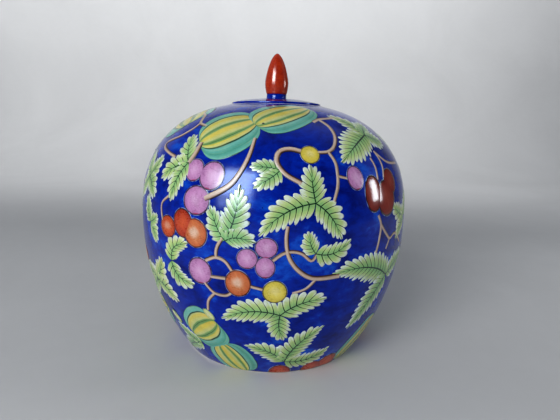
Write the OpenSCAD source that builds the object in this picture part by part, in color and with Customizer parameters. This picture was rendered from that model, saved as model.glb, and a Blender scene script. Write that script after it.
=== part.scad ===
/* [Jar body] */
// Radius of the jar at its widest
belly_radius = 102.5; // [90:0.5:120]
// Height of the widest place above the table
belly_height = 104; // [90:1:120]
// Radius where the wall meets the table
foot_radius = 68.8; // [60:0.2:76]
// Rise of the shoulder curve above the widest place
shoulder_rise = 86; // [75:1:100]
// Squareness of the shoulder curve, where 2 is a plain ellipse
shoulder_squareness = 2.5; // [2.2:0.1:2.8]
// Thickness of the fired wall
wall = 5; // [4:0.5:6]

/* [Foot] */
// Width of the bare ring that the jar stands on
foot_ring_width = 7; // [5:0.5:9]
// Depth of the hollow inside the foot ring
foot_recess = 4.5; // [3:0.5:6]
// Thickness of the floor above that hollow
floor_thickness = 7; // [5:0.5:9]

/* [Mouth] */
// Radius of the hole that the lid closes
mouth_radius = 27.5; // [26:0.5:29]
// Outer radius of the flat ledge round the hole
ledge_radius = 36.6; // [36:0.2:38]
// Depth of the thick collar under the ledge
collar_depth = 8; // [6:0.5:10]

/* [Lid] */
// Radius of the lid
lid_radius = 34.3; // [33:0.1:35.5]
// Height of the lid's upright edge
lid_edge = 1.6; // [1.2:0.1:2.4]
// Height of the lid's dome above the ledge
lid_dome = 5.4; // [4.5:0.1:7]
// Thickness of the lid at its middle
lid_thickness = 4.2; // [3.5:0.1:5]
// Gap between the lid's flange and the mouth, all round
flange_gap = 2; // [1.5:0.1:3]
// Thickness of the flange
flange_wall = 4; // [3:0.5:5]
// Depth of the flange below the ledge
flange_depth = 11; // [8:0.5:14]

/* [Finial] */
// Radius of the short stem under the bud
stem_radius = 7.7; // [6.5:0.1:8.4]
// Height of the stem above the dome
stem_height = 3.2; // [2:0.1:5]
// Radius of the bud at its widest
bud_radius = 9.05; // [8.6:0.05:11]
// Height of the bud below its widest place
bud_rise = 8.6; // [6:0.1:11]
// Height of the bud above its widest place
bud_taper = 21.9; // [18:0.1:28]

/* [Hidden] */
$fn = 180;

// steps along each long curve, and along each small rounding
curve_steps = 30;
round_steps = 8;

// the lower wall is one arc, upright at the belly and through the foot's edge
foot_inset = belly_radius - foot_radius;
lower_arc_radius = (belly_height ^ 2 + foot_inset ^ 2) / (2 * foot_inset);
lower_arc_centre = belly_radius - lower_arc_radius;

floor_height = foot_recess + floor_thickness;
ledge_height = shoulder_height(ledge_radius, 0);
foot_chamfer = 1.2;

// roundings: the mouth's lips, the foot of the collar inside, and the lid's edges
mouth_round = 0.9;
collar_slant = 1;
edge_round = 0.5;

flange_radius = mouth_radius - flange_gap;
bud_foot = ledge_height + lid_dome + stem_height;
stem_flare = 0.9;

// how full the lid's dome, the bud's tuck over the stem and the bud's taper are
dome_power = 2.2;
tuck_power = 0.8;
taper_power = 1.4;
taper_fullness = 0.56;

// radius of the lower wall at a height, `inset` inside the outer face
function lower_radius(height, inset) =
    lower_arc_centre + sqrt((lower_arc_radius - inset) ^ 2 - (belly_height - height) ^ 2);

// height of the shoulder curve at a radius, `inset` inside the outer face
function shoulder_height(radius, inset) =
    belly_height + (shoulder_rise - inset)
    * (1 - (radius / (belly_radius - inset)) ^ shoulder_squareness) ^ (1 / shoulder_squareness);

// a point on the shoulder curve; the angle runs from 0 at the belly to 90 over the mouth
function shoulder_point(angle, inset) = [
    (belly_radius - inset) * cos(angle) ^ (2 / shoulder_squareness),
    belly_height + (shoulder_rise - inset) * sin(angle) ^ (2 / shoulder_squareness)
];

// the angle at which the shoulder curve comes in to a radius
function shoulder_angle(radius, inset) =
    acos((radius / (belly_radius - inset)) ^ (shoulder_squareness / 2));

// wall outlines, both from the foot to the mouth
function lower_wall(start, inset) = [
    for (i = [0 : curve_steps])
        let (height = start + (belly_height - start) * i / curve_steps)
        [lower_radius(height, inset), height]
];
function upper_wall(end_radius, inset) = [
    for (i = [1 : curve_steps])
        shoulder_point(shoulder_angle(end_radius, inset) * i / curve_steps, inset)
];
function backwards(points) = [for (i = [len(points) - 1 : -1 : 0]) points[i]];

// an arc about a centre, from one angle to another
function arc(centre, radius, from, to) = [
    for (i = [0 : round_steps])
        let (angle = from + (to - from) * i / round_steps)
        centre + radius * [cos(angle), sin(angle)]
];

module jar_body() {
    ring_inside = foot_radius - foot_chamfer - foot_ring_width;
    lip_radius = mouth_radius + mouth_round;
    collar_radius = mouth_radius + wall;
    collar_foot = ledge_height - collar_depth;
    bowl_bottom = lower_wall(floor_height + wall, wall);
    foot = [
        [0, foot_recess],
        [ring_inside - foot_recess / 2, foot_recess],
        [ring_inside, 0],
        [foot_radius - foot_chamfer, 0]
    ];
    outline = concat(
        foot,
        lower_wall(foot_chamfer, 0),
        upper_wall(ledge_radius, 0),
        arc([lip_radius, ledge_height - mouth_round], mouth_round, 90, 180),
        arc([lip_radius, collar_foot + mouth_round], mouth_round, 180, 270),
        [[collar_radius - collar_slant, collar_foot]],
        backwards(upper_wall(collar_radius, wall)),
        backwards(bowl_bottom),
        [[bowl_bottom[0][0] - wall, floor_height], [0, floor_height]]
    );
    color("mediumblue") rotate_extrude() polygon(outline);
}

module lid_cap() {
    // the dome runs from the stem's foot out to the upright edge
    dome_start = stem_radius + stem_flare;
    dome_run = lid_radius - edge_round - dome_start;
    dome = [
        for (i = [0 : curve_steps])
            let (radius = dome_start + dome_run * i / curve_steps)
            [radius, ledge_height + lid_edge
                 + (lid_dome - lid_edge) * (1 - (radius / lid_radius) ^ dome_power)]
    ];
    outline = concat(
        [[0, ledge_height + lid_dome - lid_thickness],
         [flange_radius - flange_wall - stem_flare, ledge_height],
         [lid_radius - edge_round, ledge_height],
         [lid_radius, ledge_height + edge_round],
         [lid_radius, ledge_height + lid_edge - edge_round / 2]],
        backwards(dome),
        [[stem_radius, dome[0][1] + stem_flare], [stem_radius, bud_foot], [0, bud_foot]]
    );
    color("mediumblue") rotate_extrude() polygon(outline);
}

module lid_flange() {
    inside = flange_radius - flange_wall;
    color("ghostwhite") translate([0, 0, ledge_height - flange_depth]) rotate_extrude() polygon([
        [inside, edge_round],
        [inside + edge_round, 0],
        [flange_radius - edge_round, 0],
        [flange_radius, edge_round],
        [flange_radius, flange_depth],
        [inside, flange_depth]
    ]);
}

module finial_bud() {
    swell = bud_radius - stem_radius;
    tuck = [
        for (i = [0 : round_steps])
            let (share = i / round_steps)
            [stem_radius + swell * sin(90 * share) ^ tuck_power, bud_foot + bud_rise * share]
    ];
    taper = [
        for (i = [1 : curve_steps])
            let (share = sin(90 * i / curve_steps))
            [bud_radius * (1 - share ^ taper_power) ^ taper_fullness,
             bud_foot + bud_rise + bud_taper * share]
    ];
    color("orangered") rotate_extrude() polygon(concat([[0, bud_foot]], tuck, taper));
}

jar_body();
lid_cap();
lid_flange();
finial_bud();
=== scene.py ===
import bmesh
import bpy
import math
import random
from mathutils import Matrix, Vector


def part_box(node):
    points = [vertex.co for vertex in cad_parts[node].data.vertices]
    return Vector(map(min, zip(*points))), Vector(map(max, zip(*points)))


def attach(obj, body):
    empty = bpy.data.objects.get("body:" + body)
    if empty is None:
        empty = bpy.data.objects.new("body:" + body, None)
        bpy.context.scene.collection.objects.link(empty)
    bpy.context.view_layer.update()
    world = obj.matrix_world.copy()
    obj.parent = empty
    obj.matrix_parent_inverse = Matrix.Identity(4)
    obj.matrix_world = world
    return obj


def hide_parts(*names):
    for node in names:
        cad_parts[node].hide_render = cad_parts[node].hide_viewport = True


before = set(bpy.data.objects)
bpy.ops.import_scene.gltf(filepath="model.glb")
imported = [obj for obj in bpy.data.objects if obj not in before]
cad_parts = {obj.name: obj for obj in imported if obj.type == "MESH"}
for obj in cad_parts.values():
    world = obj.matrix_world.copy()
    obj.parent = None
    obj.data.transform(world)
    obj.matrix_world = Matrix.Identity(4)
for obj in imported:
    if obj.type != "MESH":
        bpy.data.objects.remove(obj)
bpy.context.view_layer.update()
mm = 0.001
weldGap = 0.002 * mm    # points closer than this are one
random.seed(11)
scene = bpy.context.scene
print("stage: frame loaded")


def addNode(tree, kind, inputs=None, **settings):
    node = tree.nodes.new(kind)
    for key, value in settings.items():
        setattr(node, key, value)
    for name, value in (inputs or {}).items():
        if isinstance(value, bpy.types.NodeSocket):
            tree.links.new(value, node.inputs[name])
        else:
            node.inputs[name].default_value = value
    return node


def doMath(tree, operation, first, second=0.0):
    return addNode(tree, "ShaderNodeMath", {0: first, 1: second}, operation=operation).outputs[0]


def plus(tree, first, second):
    return doMath(tree, "ADD", first, second)


def minus(tree, first, second):
    return doMath(tree, "SUBTRACT", first, second)


def times(tree, first, second):
    return doMath(tree, "MULTIPLY", first, second)


def lengthOf(tree, vector):
    return addNode(tree, "ShaderNodeVectorMath", {0: vector}, operation="LENGTH").outputs["Value"]


def splitVector(tree, vector):
    return addNode(tree, "ShaderNodeSeparateXYZ", {0: vector}).outputs


def joinVector(tree, x, y, z):
    return addNode(tree, "ShaderNodeCombineXYZ", {0: x, 1: y, 2: z}).outputs[0]


def newTree(name, kind, inputs, outputs):
    tree = bpy.data.node_groups.new(name, kind)
    for label, socketType, value in inputs:
        socket = tree.interface.new_socket(label, in_out="INPUT", socket_type="NodeSocket" + socketType)
        if value is not None:
            socket.default_value = value
    for label, socketType in outputs:
        tree.interface.new_socket(label, in_out="OUTPUT", socket_type="NodeSocket" + socketType)
    return tree, tree.nodes.new("NodeGroupInput").outputs, tree.nodes.new("NodeGroupOutput").inputs


def readAttribute(tree, name, dataType="FLOAT"):
    node = addNode(tree, "GeometryNodeInputNamedAttribute", {"Name": name}, data_type=dataType)
    return node.outputs["Attribute"]


def storeAttribute(tree, geometry, name, value, dataType="FLOAT", domain="POINT"):
    values = {"Geometry": geometry, "Name": name, "Value": value}
    node = addNode(tree, "GeometryNodeStoreNamedAttribute", values, data_type=dataType, domain=domain)
    return node.outputs[0]


def readPlace(tree):
    return addNode(tree, "GeometryNodeInputPosition").outputs[0]


def objectShape(tree, source):
    return addNode(tree, "GeometryNodeObjectInfo", {"Object": source}).outputs["Geometry"]


def placeAt(tree, geometry, position):
    values = {"Geometry": geometry, "Position": position}
    return addNode(tree, "GeometryNodeSetPosition", values).outputs[0]


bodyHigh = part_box("jar_body")[1]
lidLow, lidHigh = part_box("lid_cap")
flangeLow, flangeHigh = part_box("lid_flange")
budLow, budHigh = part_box("finial_bud")

jar = {
    "bellyRadius": 102.5 * mm,
    "bellyHeight": 104 * mm,
    "footRadius": 68.8 * mm,
    "shoulderRise": 86 * mm,
    "squareness": 2.5,
    "wall": 5 * mm,
    "paintDepth": 0.4 * mm,      # the shell stays this far inside, to give the enamel room
    "ringWidth": 7 * mm,
    "ringStep": 1.2 * mm,        # the foot ring stands in this far from the foot's radius
    "ringRound": 0.6 * mm,
    "recess": 4.5 * mm,
    "recessSlope": 5 * mm,
    "recessRound": 2 * mm,
    "floor": 11.5 * mm,
    "mouthRadius": 27.5 * mm,
    "ledgeRadius": 36.6 * mm,
    "ledgeHeight": bodyHigh.z,
    "collarDepth": 8 * mm,
    "edgeRound": 0.9 * mm,
    "glazeStart": 1.3 * mm,      # the glaze stops short of the table
    "segments": 240,
    "wallSteps": 70,
    "bowlSteps": 36,
}

# what an outline's points say about the surface that starts there
blueGlazed = 0.0
bareClay = 1.0
clearGlazed = 2.0


def lowerRadius(height, inset):
    footInset = jar["bellyRadius"] - jar["footRadius"]
    arc = (jar["bellyHeight"] ** 2 + footInset ** 2) / (2 * footInset)
    return jar["bellyRadius"] - arc + math.sqrt((arc - inset) ** 2 - (jar["bellyHeight"] - height) ** 2)


def shoulderPoint(turn, inset):
    power = 2 / jar["squareness"]
    radius = (jar["bellyRadius"] - inset) * math.cos(turn) ** power
    return radius, jar["bellyHeight"] + (jar["shoulderRise"] - inset) * math.sin(turn) ** power


def wallOutline(inset, startHeight, endRadius, steps):
    lowerRun = jar["bellyHeight"] - startHeight
    points = []
    for i in range(steps):
        height = startHeight + lowerRun * i / steps
        points.append((lowerRadius(height, inset), height))
    endTurn = math.acos((endRadius / (jar["bellyRadius"] - inset)) ** (jar["squareness"] / 2))
    for i in range(steps + 1):
        points.append(shoulderPoint(endTurn * i / steps, inset))
    return points


def arcPoints(centre, radius, fromDegrees, toDegrees, steps=5):
    points = []
    for i in range(steps + 1):
        turn = math.radians(fromDegrees + (toDegrees - fromDegrees) * i / steps)
        points.append((centre[0] + radius * math.cos(turn), centre[1] + radius * math.sin(turn)))
    return points


def outlineObject(name, points, finishes=None):
    # a row of joined points in the XZ plane, each with the finish it starts
    mesh = bpy.data.meshes.new(name)
    edges = [(i, i + 1) for i in range(len(points) - 1)]
    mesh.from_pydata([(radius, 0, height) for radius, height in points], edges, [])
    finish = mesh.attributes.new("finish", "FLOAT", "POINT")
    finish.data.foreach_set("value", finishes or [0.0] * len(points))
    outline = bpy.data.objects.new(name, mesh)
    scene.collection.objects.link(outline)
    return outline


def rowValue(tree, outline, value, row, dataType):
    # what the outline holds at one of its own points
    values = {"Geometry": outline, "Value": value, "Index": row}
    return addNode(tree, "GeometryNodeSampleIndex", values, data_type=dataType).outputs[0]


def aroundAxis(tree, turn, radius, height):
    # a turn of 0 is the front, which faces -Y
    x = times(tree, radius, doMath(tree, "SINE", turn))
    y = times(tree, radius, times(tree, doMath(tree, "COSINE", turn), -1))
    return joinVector(tree, x, y, height)


def makeLatheTree():
    # turns an outline about +Z, with its seam at the back
    inputs = [("Geometry", "Geometry", None), ("Outline", "Object", None), ("Segments", "Int", 240),
              ("First Finish", "Material", None), ("Second Finish", "Material", None),
              ("Third Finish", "Material", None)]
    tree, given, result = newTree("turnedShell", "GeometryNodeTree", inputs, [("Geometry", "Geometry")])
    outline = objectShape(tree, given["Outline"])
    count = addNode(tree, "GeometryNodeAttributeDomainSize", {"Geometry": outline}).outputs["Point Count"]
    columns = plus(tree, given["Segments"], 1)
    gridSize = {"Size X": 1, "Size Y": 1, "Vertices X": columns, "Vertices Y": count}
    grid = addNode(tree, "GeometryNodeMeshGrid", gridSize).outputs["Mesh"]
    place = splitVector(tree, readPlace(tree))
    row = doMath(tree, "ROUND", times(tree, plus(tree, place[1], 0.5), minus(tree, count, 1)))
    turn = times(tree, place[0], 2 * math.pi)
    point = splitVector(tree, rowValue(tree, outline, readPlace(tree), row, "FLOAT_VECTOR"))
    finish = rowValue(tree, outline, readAttribute(tree, "finish"), row, "FLOAT")
    shell = storeAttribute(tree, grid, "finish", finish)
    shell = placeAt(tree, shell, aroundAxis(tree, turn, point[0], point[2]))
    welding = {"Geometry": shell, "Distance": weldGap}
    shell = addNode(tree, "GeometryNodeMergeByDistance", welding).outputs[0]
    shell = addNode(tree, "GeometryNodeSetMaterial",
                    {"Geometry": shell, "Material": given["First Finish"]}).outputs[0]
    for limit, slot in ((0.75, "Second Finish"), (1.75, "Third Finish")):
        # a face takes the finish of its corners' mean
        faceFinish = addNode(tree, "GeometryNodeFieldOnDomain",
                             {"Value": readAttribute(tree, "finish")}, domain="FACE").outputs[0]
        chosen = doMath(tree, "GREATER_THAN", faceFinish, limit)
        shell = addNode(tree, "GeometryNodeSetMaterial",
                        {"Geometry": shell, "Selection": chosen, "Material": given[slot]}).outputs[0]
    shell = addNode(tree, "GeometryNodeRealizeInstances", {"Geometry": shell}).outputs[0]
    shell = addNode(tree, "GeometryNodeSetShadeSmooth", {"Geometry": shell}).outputs[0]
    tree.links.new(shell, result["Geometry"])
    return tree


def makeWrapTree():
    # lays flat work on the glaze: x is mm round from its own turn, y is mm up the wall, z stands off it
    inputs = [("Geometry", "Geometry", None), ("Outline", "Object", None)]
    tree, given, result = newTree("laidOnGlaze", "GeometryNodeTree", inputs, [("Geometry", "Geometry")])
    outline = objectShape(tree, given["Outline"])
    outline = addNode(tree, "GeometryNodeMeshToCurve", {"Mesh": outline}).outputs[0]
    flat = splitVector(tree, readPlace(tree))
    climbed = {"Curves": outline, "Length": flat[1]}
    along = addNode(tree, "GeometryNodeSampleCurve", climbed, mode="LENGTH").outputs
    foot = splitVector(tree, along["Position"])
    lean = splitVector(tree, along["Tangent"])
    turn = plus(tree, readAttribute(tree, "turn"), doMath(tree, "DIVIDE", flat[0], foot[0]))
    radius = plus(tree, foot[0], times(tree, flat[2], lean[2]))
    height = minus(tree, foot[2], times(tree, flat[2], lean[0]))
    laid = placeAt(tree, given["Geometry"], aroundAxis(tree, turn, radius, height))
    tree.links.new(laid, result["Geometry"])
    return tree


latheTree = makeLatheTree()
wrapTree = makeWrapTree()
# every painted tree starts with these inputs
paintedInputs = [("Geometry", "Geometry", None), ("Outline", "Object", None), ("Enamel", "Material", None)]


def finishTree(tree, geometry, given, result):
    # every painted tree ends the same way: real mesh, laid on the glaze, smooth, with its enamel
    geometry = addNode(tree, "GeometryNodeRealizeInstances", {"Geometry": geometry}).outputs[0]
    wrap = addNode(tree, "GeometryNodeGroup", node_tree=wrapTree)
    tree.links.new(geometry, wrap.inputs["Geometry"])
    tree.links.new(given["Outline"], wrap.inputs["Outline"])
    geometry = addNode(tree, "GeometryNodeSetShadeSmooth", {"Geometry": wrap.outputs[0]}).outputs[0]
    geometry = addNode(tree, "GeometryNodeSetMaterial",
                       {"Geometry": geometry, "Material": given["Enamel"]}).outputs[0]
    tree.links.new(geometry, result["Geometry"])


def pathCurve(tree, geometry, pitch):
    curve = addNode(tree, "GeometryNodeMeshToCurve", {"Mesh": geometry}).outputs[0]
    curve = addNode(tree, "GeometryNodeCurveSplineType", {"Curve": curve},
                    spline_type="CATMULL_ROM").outputs[0]
    return addNode(tree, "GeometryNodeResampleCurve", {"Curve": curve, "Length": pitch},
                   mode="LENGTH").outputs[0]


def unitBall(tree, segments, rings):
    # the painted fruit and melons are pressed from this
    values = {"Segments": segments, "Rings": rings, "Radius": 1}
    ball = addNode(tree, "GeometryNodeMeshUVSphere", values).outputs["Mesh"]
    return ball, splitVector(tree, readPlace(tree))


def brushRing(tree, sides):
    # the section of a leaf or a stroke, which knows how far across it each point is
    values = {"Resolution": sides, "Radius": 1}
    ring = addNode(tree, "GeometryNodeCurvePrimitiveCircle", values).outputs["Curve"]
    place = splitVector(tree, readPlace(tree))
    return storeAttribute(tree, ring, "across", place[0]), place[1]


def half(tree, value):
    # -1 to 1 becomes 0 to 1
    return times(tree, plus(tree, value, 1), 0.5)


def storeUv(tree, geometry, u, v):
    return storeAttribute(tree, geometry, "UVMap", joinVector(tree, u, v, 0), "FLOAT2", "CORNER")


def pressed(tree, height, relief):
    # the top stands proud by the relief, and the underside is sunk a little way into the glaze
    sunkShare = 0.35
    proud = times(tree, doMath(tree, "MAXIMUM", height, 0), relief)
    sunk = times(tree, doMath(tree, "MINIMUM", height, 0), times(tree, relief, sunkShare))
    return plus(tree, proud, sunk)


def makeFrondTree():
    # each lobe is one closed sheet swept along its midrib
    inputs = [*paintedInputs, ("Step", "Float", 0.62 * mm), ("Sides", "Int", 16),
              ("Relief", "Float", 0.2 * mm), ("Sunk", "Float", 0.12 * mm), ("Base Slant", "Float", 1.25),
              ("Tip Slant", "Float", 0.08), ("Notch", "Float", 0.3), ("Forward Bend", "Float", 0.2),
              ("Seed", "Int", 3)]
    tree, given, result = newTree("leafFrond", "GeometryNodeTree", inputs, [("Geometry", "Geometry")])
    curve = pathCurve(tree, given["Geometry"], given["Step"])
    share = addNode(tree, "GeometryNodeSplineParameter").outputs["Factor"]
    curve = storeAttribute(tree, curve, "along", share)
    heading = splitVector(tree, addNode(tree, "GeometryNodeInputTangent").outputs[0])
    heading = doMath(tree, "ARCTAN2", heading[1], heading[0])
    curve = storeAttribute(tree, curve, "heading", heading)
    midrib = readPlace(tree)
    curve = storeAttribute(tree, curve, "midrib", midrib, "FLOAT_VECTOR")
    ring, ringHeight = brushRing(tree, given["Sides"])
    ring = storeAttribute(tree, ring, "level", ringHeight)
    sheet = addNode(tree, "GeometryNodeCurveToMesh",
                    {"Curve": curve, "Profile Curve": ring, "Fill Caps": True}).outputs[0]
    along = readAttribute(tree, "along")
    across = readAttribute(tree, "across")
    side = doMath(tree, "SIGN", across)
    out = doMath(tree, "ABSOLUTE", across)
    # which leaflet this is, counted along the midrib, and how far through it
    index = times(tree, along, plus(tree, readAttribute(tree, "leaflets"), 0.5))
    index = plus(tree, index, times(tree, across, 0.12))
    through = doMath(tree, "FRACT", index)
    middle = doMath(tree, "SINE", times(tree, through, math.pi))
    notch = doMath(tree, "POWER", minus(tree, 1, middle), 1.3)
    notch = minus(tree, 1, times(tree, given["Notch"], notch))
    # leaflets grow quickly from the base, and shorten towards the tip
    rise = doMath(tree, "MINIMUM", plus(tree, times(tree, along, 1.5), 0.86), 1)
    fall = minus(tree, 1, times(tree, doMath(tree, "POWER", along, 3), 0.42))
    whichOne = plus(tree, doMath(tree, "FLOOR", index), times(tree, side, 40))
    wobble = addNode(tree, "FunctionNodeRandomValue",
                     {2: 0.9, 3: 1.08, "ID": whichOne, "Seed": given["Seed"]}, data_type="FLOAT").outputs[1]
    length = times(tree, readAttribute(tree, "reach"), times(tree, rise, fall))
    length = times(tree, length, times(tree, notch, wobble))
    # leaflets slant less and less towards the tip
    slant = addNode(tree, "ShaderNodeMix", {"Factor": doMath(tree, "POWER", along, 2.4),
                                            "A": given["Base Slant"],
                                            "B": given["Tip Slant"]}).outputs["Result"]
    heading = readAttribute(tree, "heading")
    angle = plus(tree, heading, times(tree, slant, side))
    run = times(tree, length, out)
    bend = times(tree, times(tree, run, out), given["Forward Bend"])
    start = splitVector(tree, readAttribute(tree, "midrib", "FLOAT_VECTOR"))
    flat = []
    for axis, wave in ((0, "COSINE"), (1, "SINE")):
        leafletPart = times(tree, run, doMath(tree, wave, angle))
        bendPart = times(tree, bend, doMath(tree, wave, heading))
        flat.append(plus(tree, start[axis], plus(tree, leafletPart, bendPart)))
    # leaflets swell between the veins, and the whole underside is sunk a little way into the glaze
    level = readAttribute(tree, "level")
    pillow = plus(tree, times(tree, middle, 0.5), 0.5)
    proud = times(tree, doMath(tree, "MAXIMUM", level, 0), given["Relief"])
    proud = times(tree, proud, pillow)
    sunk = times(tree, doMath(tree, "MINIMUM", level, 0), given["Sunk"])
    onTop = doMath(tree, "GREATER_THAN", level, -0.05)
    raised = times(tree, onTop, readAttribute(tree, "lift"))
    height = plus(tree, plus(tree, proud, sunk), raised)
    sheet = storeUv(tree, sheet, index, half(tree, across))
    finishTree(tree, placeAt(tree, sheet, joinVector(tree, *flat, height)), given, result)
    return tree


def makeStrokeTree():
    # a vine is one brush stroke along its path
    inputs = [*paintedInputs, ("Step", "Float", 1.4 * mm), ("Relief", "Float", 0.16), ("Sides", "Int", 8)]
    tree, given, result = newTree("brushStroke", "GeometryNodeTree", inputs, [("Geometry", "Geometry")])
    curve = pathCurve(tree, given["Geometry"], given["Step"])
    girth = times(tree, readAttribute(tree, "girth"), 0.5)
    curve = addNode(tree, "GeometryNodeSetCurveRadius", {"Curve": curve, "Radius": girth}).outputs[0]
    curve = addNode(tree, "GeometryNodeSetCurveNormal", {"Curve": curve}, mode="Z_UP").outputs[0]
    ring, _ = brushRing(tree, given["Sides"])
    stroke = addNode(tree, "GeometryNodeCurveToMesh",
                     {"Curve": curve, "Profile Curve": ring, "Fill Caps": True,
                      "Scale": girth}).outputs[0]
    place = splitVector(tree, readPlace(tree))
    flat = joinVector(tree, place[0], place[1], times(tree, place[2], given["Relief"]))
    finishTree(tree, placeAt(tree, stroke, flat), given, result)
    return tree


def setOnSpots(tree, shape, given, result):
    # one at each point, turned and sized as the point says
    points = addNode(tree, "GeometryNodeMeshToPoints", {"Mesh": given["Geometry"]}).outputs[0]
    angle = joinVector(tree, 0, 0, readAttribute(tree, "tilt"))
    rotation = addNode(tree, "FunctionNodeEulerToRotation", {0: angle}).outputs[0]
    halfWidth = readAttribute(tree, "halfWidth")
    size = joinVector(tree, halfWidth, readAttribute(tree, "halfHeight"), given["Relief"])
    values = {"Points": points, "Instance": shape, "Rotation": rotation, "Scale": size}
    placed = addNode(tree, "GeometryNodeInstanceOnPoints", values).outputs[0]
    finishTree(tree, placed, given, result)
    return tree


def makeFruitTree():
    # flat rounds of enamel
    inputs = [*paintedInputs, ("Relief", "Float", 0.3 * mm)]
    tree, given, result = newTree("paintedFruit", "GeometryNodeTree", inputs, [("Geometry", "Geometry")])
    ball, place = unitBall(tree, 28, 15)
    ball = storeUv(tree, ball, half(tree, place[0]), half(tree, place[1]))
    ball = placeAt(tree, ball, joinVector(tree, place[0], place[1], pressed(tree, place[2], 1)))
    return setOnSpots(tree, ball, given, result)


def makeMelonTree():
    # ribbed melons, whose ribs run from pole to pole
    inputs = [*paintedInputs, ("Relief", "Float", 0.26 * mm), ("Rib Depth", "Float", 0.45),
              ("Groove Width", "Float", 0.045), ("Egg", "Float", 0.06), ("Blunt", "Float", 0.36)]
    tree, given, result = newTree("ribbedMelon", "GeometryNodeTree", inputs, [("Geometry", "Geometry")])
    ball, place = unitBall(tree, 72, 30)
    # the ball's poles go to the melon's two ends, and meridian runs from 0 to 1 across the shown side
    girdle = lengthOf(tree, joinVector(tree, place[0], place[1], 0))
    meridian = half(tree, doMath(tree, "DIVIDE", place[0], girdle))
    ball = storeUv(tree, ball, meridian, half(tree, place[2]))
    nearest = 1.0
    for groove in melonGrooves:
        gap = doMath(tree, "ABSOLUTE", minus(tree, meridian, groove))
        nearest = doMath(tree, "MINIMUM", gap, nearest)
    sunk = minus(tree, 1, doMath(tree, "DIVIDE", nearest, given["Groove Width"]))
    sunk = doMath(tree, "MAXIMUM", sunk, 0)
    swell = minus(tree, 1, times(tree, given["Rib Depth"], sunk))
    top = times(tree, pressed(tree, place[1], 1), swell)
    wide = plus(tree, 1, times(tree, place[2], given["Egg"]))
    # the two ends are blunt, with the stalk and the blossom end set a little way in
    fullness = times(tree, times(tree, place[0], place[0]), given["Blunt"])
    length = times(tree, place[2], plus(tree, fullness, 0.9))
    ball = placeAt(tree, ball, joinVector(tree, length, times(tree, place[0], wide), top))
    return setOnSpots(tree, ball, given, result)


melonGrooves = (0.24, 0.37, 0.64, 0.86)    # as shares of the way across a melon
frondTree = makeFrondTree()
strokeTree = makeStrokeTree()
fruitTree = makeFruitTree()
melonTree = makeMelonTree()
print("stage: node trees built")


def objectPlace(tree):
    return addNode(tree, "ShaderNodeTexCoord").outputs["Object"]


def noiseAt(tree, place, scale, detail=2.0, roughness=0.5, distortion=0.0):
    values = {"Vector": place, "Scale": scale, "Detail": detail, "Roughness": roughness,
              "Distortion": distortion}
    return addNode(tree, "ShaderNodeTexNoise", values).outputs["Fac"]


def ranged(tree, value, toLow, toHigh, fromLow=0.0, fromHigh=1.0):
    # toLow to toHigh, while the value goes from fromLow to fromHigh
    values = {"Value": value, "From Min": fromLow, "From Max": fromHigh, "To Min": toLow, "To Max": toHigh}
    return addNode(tree, "ShaderNodeMapRange", values).outputs["Result"]


def ramped(tree, value, low, high):
    # 0 under low, 1 over high, smooth between
    values = {"Value": value, "From Min": low, "From Max": high}
    return addNode(tree, "ShaderNodeMapRange", values, interpolation_type="SMOOTHSTEP").outputs["Result"]


def makeBrushGroup():
    # uneven brushed colour: broad patches broken by streaks
    inputs = [("Patch Scale", "Float", 30.0), ("Streak Scale", "Float", 140.0), ("Streaks", "Float", 0.4)]
    tree, given, result = newTree("brushedColour", "ShaderNodeTree", inputs, [("Mask", "Float")])
    place = objectPlace(tree)
    patch = noiseAt(tree, place, given["Patch Scale"], 4.0, 0.6, 0.7)
    stretched = addNode(tree, "ShaderNodeMapping", {"Vector": place, "Rotation": (0.5, 0.35, 0.2),
                                                    "Scale": (1, 1, 1.9)}).outputs[0]
    streak = noiseAt(tree, stretched, given["Streak Scale"], 5.0, 0.65, 0.4)
    mask = addNode(tree, "ShaderNodeMix", {"Factor": given["Streaks"], "A": patch, "B": streak}).outputs[0]
    tree.links.new(mask, result["Mask"])
    return tree


def makeRippleGroup():
    # a fired surface is never quite level: slow waves with a fine pitting over them
    inputs = [("Wave Scale", "Float", 45.0), ("Pit Scale", "Float", 900.0), ("Pitting", "Float", 0.15)]
    tree, given, result = newTree("firedRipple", "ShaderNodeTree", inputs, [("Height", "Float")])
    place = objectPlace(tree)
    wave = noiseAt(tree, place, given["Wave Scale"])
    pit = noiseAt(tree, place, given["Pit Scale"])
    tree.links.new(plus(tree, wave, times(tree, pit, given["Pitting"])), result["Height"])
    return tree


def makeSpeckGroup():
    # rare dark specks burnt into the glaze
    inputs = [("Scale", "Float", 220.0), ("Size", "Float", 0.1), ("Rarity", "Float", 0.86)]
    tree, given, result = newTree("glazeSpecks", "ShaderNodeTree", inputs, [("Mask", "Float")])
    cell = addNode(tree, "ShaderNodeTexVoronoi", {"Vector": objectPlace(tree), "Scale": given["Scale"]})
    near = doMath(tree, "LESS_THAN", cell.outputs["Distance"], given["Size"])
    tint = splitVector(tree, cell.outputs["Color"])
    burnt = doMath(tree, "GREATER_THAN", tint[0], given["Rarity"])
    tree.links.new(times(tree, near, burnt), result["Mask"])
    return tree


brushGroup = makeBrushGroup()
rippleGroup = makeRippleGroup()
speckGroup = makeSpeckGroup()


def groupNode(tree, group, values):
    node = addNode(tree, "ShaderNodeGroup", node_tree=group)
    for name, value in values.items():
        node.inputs[name].default_value = value
    return node.outputs[0]


def colourRamp(tree, factor, stops):
    node = addNode(tree, "ShaderNodeValToRGB", {"Fac": factor})
    ramp = node.color_ramp
    while len(ramp.elements) < len(stops):
        ramp.elements.new(0.5)
    for element, (position, colour) in zip(ramp.elements, stops):
        element.position = position
        element.color = (*colour, 1)
    return node.outputs["Color"]


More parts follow.
